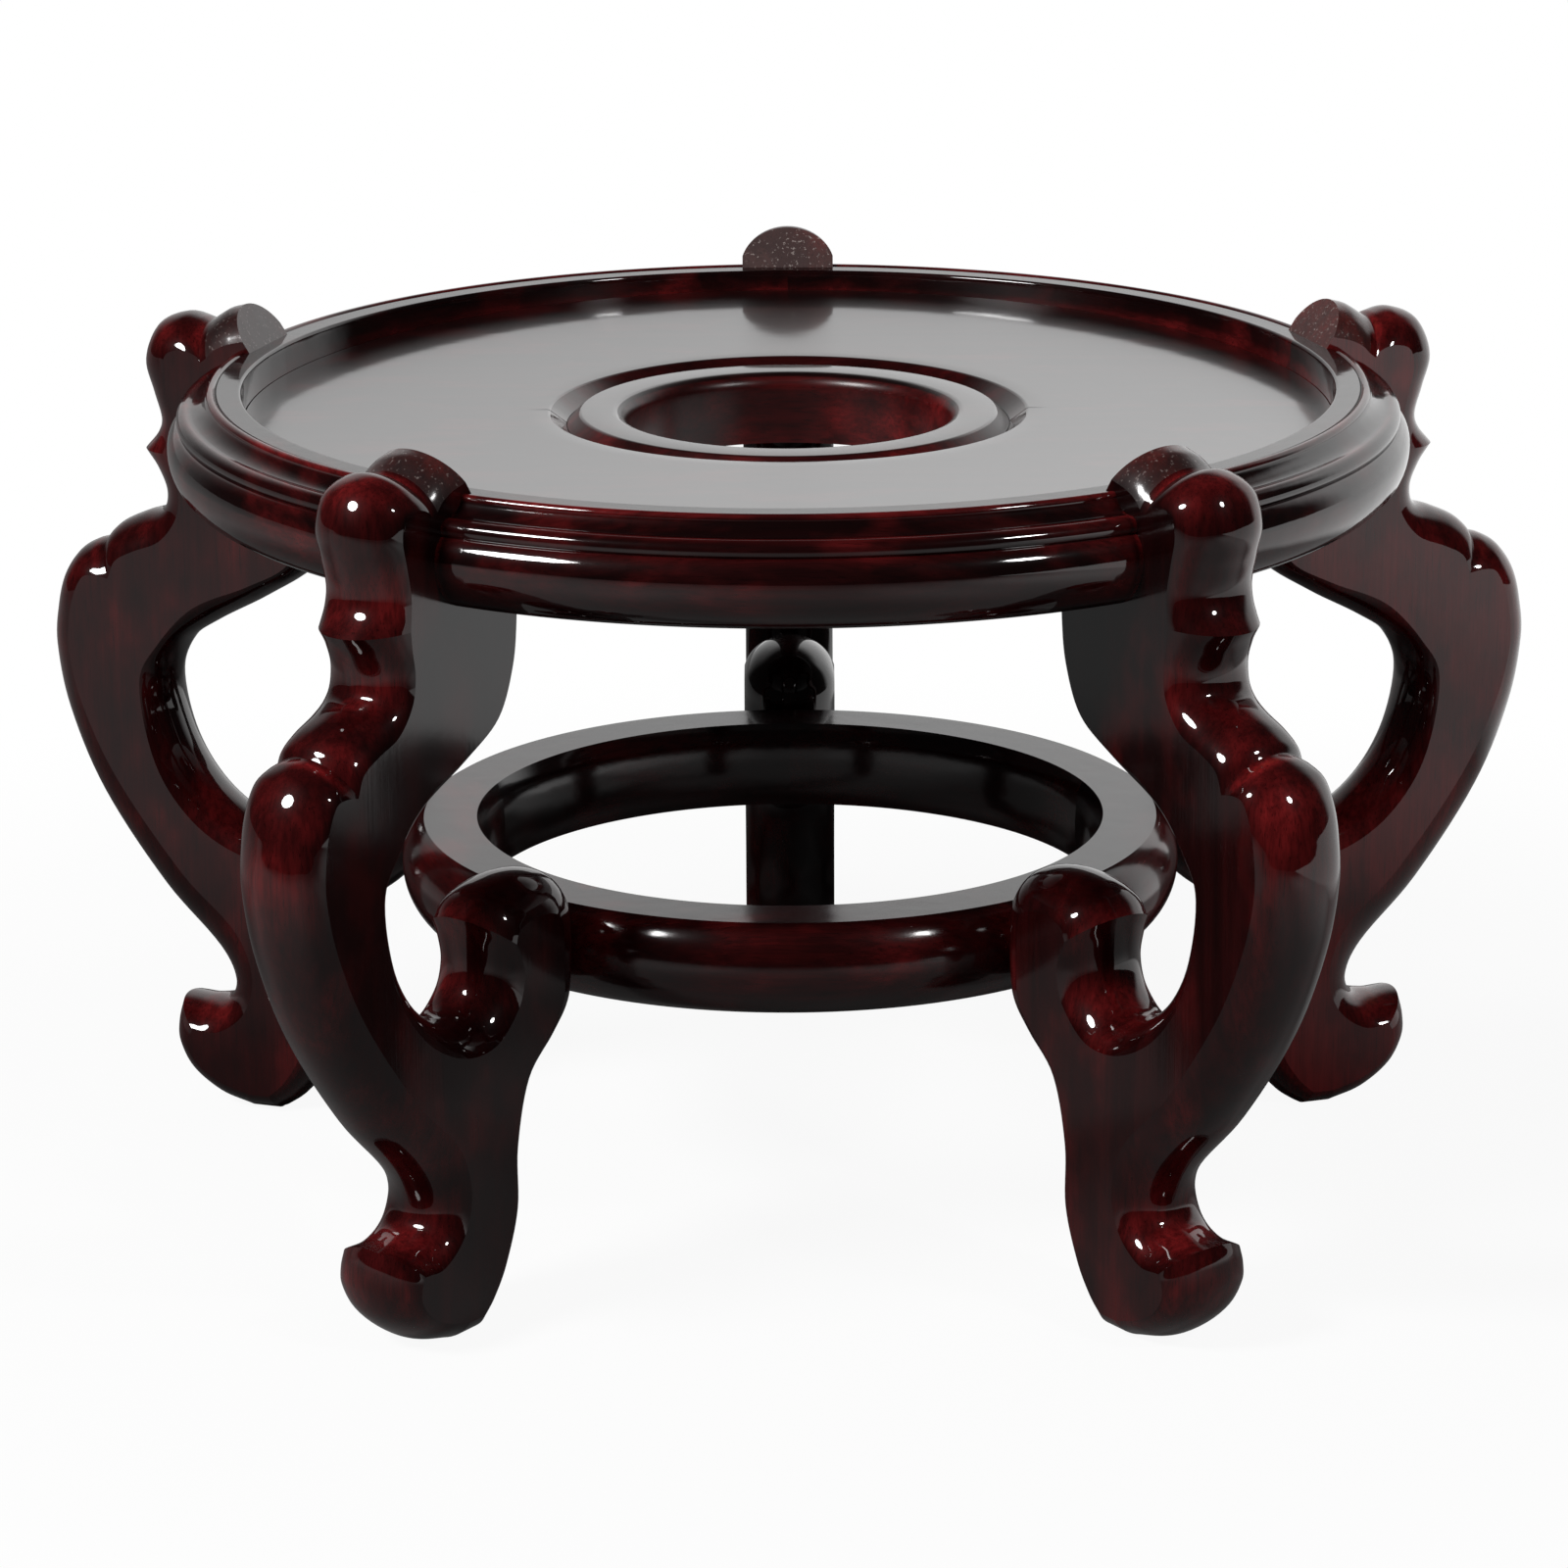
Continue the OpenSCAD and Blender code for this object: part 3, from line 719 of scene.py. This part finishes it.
# places along the edge where the finish is thin: radius, height, reach, amount
THIN_SPOTS = [
    (177.5, 261, 4.0, 0.5), (190.5, 257.3, 1.8, 1.4), (204, 256, 8.0, 0.6),
    (229, 183.7, 1.5, 1.3), (239, 175, 7.0, 0.55), (244, 156, 14.0, 0.35), (224, 188, 3.0, 0.2),
    (209, 216, 2.5, 0.1), (207, 230, 11.0, 0.35), (204.5, 203, 4.0, 0.1), (196, 35, 6.0, 0.9),
    (206, 20, 9.0, 0.5), (198, 9, 9.0, 0.4), (163, 121, 6.0, 0.35), (164, 99, 6.0, 0.6)]
# the same along the whole edge; the share of both on each leg, which is partly wear and partly
# painted light, raised on leg 5 to brighten parts that get little light; and the most there can be
EDGE_THIN = 0.16
WEAR_AND_PAINTED_LIGHT = {1: 0.4, 2: 0.5, 3: 0.8, 4: 1.0, 5: 0.8}
MOST_THIN = 2.0
# red of each leg's flat sides at the floor, and what it gains for each millimetre up: partly the
# wood's own tone and partly painted light, standing in for the light and floor reflection that each
# leg's sides get, highest on leg 5
SIDE_RED = {1: (0.02, 0.0), 2: (0.13, 0.0), 3: (0.13, -0.0007), 4: (0.16, -0.0009),
            5: (1.05, 0.0)}
CREST_SHARE = 0.5  # share of that red which the crest has too


def leg_tint(i, p, z, f):
    """Thin finish of a leg at a row of its edge, from the crest (f = 0) to the flat side (1), and
    the red of its flat sides, which is partly painted light.
    """
    spots = sum(w * math.exp(-((p[0] - u) ** 2 + (p[1] - v) ** 2) / (s * s))
                for u, v, s, w in THIN_SPOTS)
    crest = min(MOST_THIN, WEAR_AND_PAINTED_LIGHT[i] * (spots + EDGE_THIN))
    flat = max(0.0, SIDE_RED[i][0] + SIDE_RED[i][1] * z)
    side = f * f * f
    return crest * (1 - side) + flat * (CREST_SHARE + (1 - CREST_SHARE) * side)


def leg_mesh(i):
    a0 = math.radians(leg_angle(i))
    ca, sa = math.cos(a0), math.sin(a0)
    verts, grain, thin = [], [], []
    for k in range(ACROSS + 1):
        a = TURN * (2 * k / ACROSS - 1)
        f = (1 - math.cos(a)) / (1 - math.cos(TURN))
        t = LEG_T / 2 * math.sin(a) / math.sin(TURN)
        for p in leg_edge:
            r = min(p[0] + (p[2] - p[0]) * f, SHOULDER[0])
            z = max(p[1] + (p[3] - p[1]) * f, 0.0)
            x = min(max(r * ca - t * sa, cad_low[0] / MM), cad_high[0] / MM)
            y = min(max(r * sa + t * ca, cad_low[1] / MM), cad_high[1] / MM)
            verts.append((x, y, z))
            grain.append(tuple(c + shift * i for c, shift in zip((z, r, t), LEG_SHIFT)))
            thin.append(leg_tint(i, p, z, f))
    n = len(leg_edge)
    faces = []
    for k in range(ACROSS):
        for j in range(n):
            m = (j + 1) % n
            faces.append((k * n + j, k * n + m, (k + 1) * n + m, (k + 1) * n + j))
    facet = len(runs[0])
    block = facet + BLOCK_SPANS * STEPS
    strip = [2 if j < facet else 3 if j < block else 0 for j in range(n)]
    marks = strip * ACROSS + [1, 1]
    last = ACROSS * n
    faces.append(tuple(range(n)))
    faces.append(tuple(last + j for j in range(n - 1, -1, -1)))

    def crease(u, v):
        if u < n and v < n or u >= last and v >= last:
            return True
        return u % n == v % n and u % n in corners

    return make(f"leg_carved_{i}", verts, faces, grain, thin,
                [leg_mat, side_mat, facet_mat, block_mat], marks, 60, crease)


for i in LEG_NUMBERS:
    ob = leg_mesh(i)
    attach(ob, "root")
    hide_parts(f"leg_{i}")

# Fixings inside the joints keep their solids
for name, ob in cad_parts.items():
    if name.startswith(("head_dowel", "post_dowel", "panel_spline")):
        ob.data.materials.clear()
        ob.data.materials.append(bare)


# Stage, light and camera

WHITE = (1.0, 1.0, 1.0, 1.0)
WORLD_LEAST = 0.015
FLOOR_SIZE = 12.0
FLOOR_AT = (0, 4.6, 0)


def studio_world():
    """White to the camera. What the lacquer mirrors is a low lit wall at the back and right."""
    world = bpy.data.worlds.new("studio")
    bpy.context.scene.world = world
    world.use_nodes = True
    nt = world.node_tree
    nt.nodes.clear()
    out = node(nt, "ShaderNodeOutputWorld")
    bg = node(nt, "ShaderNodeBackground")
    link(nt, bg.outputs[0], out.inputs[0])
    sep = node(nt, "ShaderNodeSeparateXYZ")
    link(nt, node(nt, "ShaderNodeTexCoord").outputs["Generated"], sep.inputs[0])
    x, y, z = (sep.outputs[axis] for axis in "XYZ")
    back = times(nt, ramp(nt, y, 0.30, 0.75), ramp(nt, x, -0.9, 0.3))
    right = times(nt, ramp(nt, x, 0.25, 0.60), ramp(nt, y, 0.3, 0.55))
    wall = times(nt, most(nt, back, right), ramp(nt, z, 0.45, 0.75, 1.0, 0.0))
    seen = node(nt, "ShaderNodeLightPath").outputs["Is Camera Ray"]
    link(nt, most(nt, most(nt, wall, WORLD_LEAST), seen), bg.inputs["Strength"])
    bg.inputs["Color"].default_value = WHITE


def studio_floor():
    """White to the camera, with a soft shadow. To glossy rays it glows only in places: painted
    light at the right and round the right leg's foot, and painted shade of the stand in front of
    its middle.
    """
    bpy.ops.mesh.primitive_grid_add(x_subdivisions=2, y_subdivisions=2, size=FLOOR_SIZE,
                                    location=FLOOR_AT)
    floor = bpy.context.object
    floor.name = "floor"
    m = bpy.data.materials.new("pale_floor")
    m.use_nodes = True
    nt = m.node_tree
    nt.nodes.clear()
    out = node(nt, "ShaderNodeOutputMaterial")
    blend = node(nt, "ShaderNodeMixShader")
    diffuse = node(nt, "ShaderNodeBsdfDiffuse")
    glow = node(nt, "ShaderNodeEmission")
    glow.inputs["Color"].default_value = WHITE
    path = node(nt, "ShaderNodeLightPath")
    to_camera, glossy = path.outputs["Is Camera Ray"], path.outputs["Is Glossy Ray"]
    position = node(nt, "ShaderNodeNewGeometry").outputs["Position"]
    sep = node(nt, "ShaderNodeSeparateXYZ")
    link(nt, position, sep.inputs[0])
    x, y = sep.outputs["X"], sep.outputs["Y"]
    length = node(nt, "ShaderNodeVectorMath", operation="LENGTH")
    link(nt, position, length.inputs[0])
    away = length.outputs["Value"]
    # painted light past a slanted line at the right
    slant = math_of(nt, "ADD", x, times(nt, y, 0.35))
    bright = ramp(nt, slant, 0.40, 0.52, 0.0, 0.95)
    # dim painted light at the sides
    side = ramp(nt, away, 0.40, 0.62, 0.0, 0.15)
    # painted light in front, with painted shade of the stand in the middle, and more light at the
    # right
    front = times(nt, ramp(nt, away, 0.26, 0.50, 0.13, 0.26), ramp(nt, y, -0.15, 0.02, 1.0, 0.0))
    off_axis = math_of(nt, "ABSOLUTE", x, 0.0)
    front = times(nt, front, ramp(nt, off_axis, 0.05, 0.22, 0.45, 1.0))
    front = times(nt, front, ramp(nt, x, 0.28, 0.5, 1.0, 2.3))
    # painted light round the foot of the leg at the right
    beyond = times(nt, ramp(nt, x, 0.16, 0.26, 0.0, 0.20), ramp(nt, y, -0.16, 0.0))
    # dark again far in front
    around = times(nt, most(nt, beyond, most(nt, side, front)), ramp(nt, y, -1.1, -0.45))
    mirrored = times(nt, glossy, most(nt, bright, around))
    seen = times(nt, to_camera, ramp(nt, away, 0.25, 0.6, 0.93, 1.0))
    link(nt, ramp(nt, to_camera, 0.0, 1.0, 0.13, 0.8), diffuse.inputs["Color"])
    link(nt, most(nt, seen, mirrored), blend.inputs[0])
    link(nt, diffuse.outputs[0], blend.inputs[1])
    link(nt, glow.outputs[0], blend.inputs[2])
    link(nt, blend.outputs[0], out.inputs[0])
    floor.data.materials.append(m)


def softbox(name, place, aim, size, watts):
    data = bpy.data.lights.new(name, "AREA")
    data.shape = "ELLIPSE"
    data.size, data.size_y = size
    data.energy = watts
    ob = bpy.data.objects.new(name, data)
    ob.location = place
    ob.rotation_euler = (Vector(aim) - Vector(place)).to_track_quat("-Z", "Y").to_euler()
    ob.visible_camera = False
    bpy.context.scene.collection.objects.link(ob)


studio_world()
studio_floor()
TARGET = (0.0, 0.0, 0.2)
softbox("key_left", (-1.17, -0.89, 1.26), TARGET, (0.58, 0.42), 29.0)
softbox("key_right", (1.05, -1.05, 1.22), TARGET, (0.20, 0.20), 7.0)

# Camera as fitted to the photograph: pixels of its frame, metres and degrees
FRAME_PX = 1600
FOCAL_PX = 5608
SHIFT_PX = (-6.0, 0.75)
SENSOR = 36.0
CAMERA_BACK = 1.6284
CAMERA_OVER_SEAT = 0.3677
LOOK_DOWN = 16.64
ROLL = -0.25
CLIP_END = 50.0

cam_data = bpy.data.cameras.new("camera")
cam_data.sensor_width = SENSOR
cam_data.lens = SENSOR * FOCAL_PX / FRAME_PX
cam_data.shift_x = SHIFT_PX[0] / FRAME_PX
cam_data.shift_y = SHIFT_PX[1] / FRAME_PX
cam_data.clip_end = CLIP_END
cam = bpy.data.objects.new("camera", cam_data)
cam.location = (0.0, -CAMERA_BACK, SEAT * MM + CAMERA_OVER_SEAT)
level = Euler((math.radians(90 - LOOK_DOWN), 0.0, 0.0)).to_matrix()
cam.rotation_euler = (level @ Matrix.Rotation(math.radians(ROLL), 3, "Z")).to_euler()
bpy.context.scene.collection.objects.link(cam)
bpy.context.scene.camera = cam
bpy.context.scene.view_settings.view_transform = "Standard"
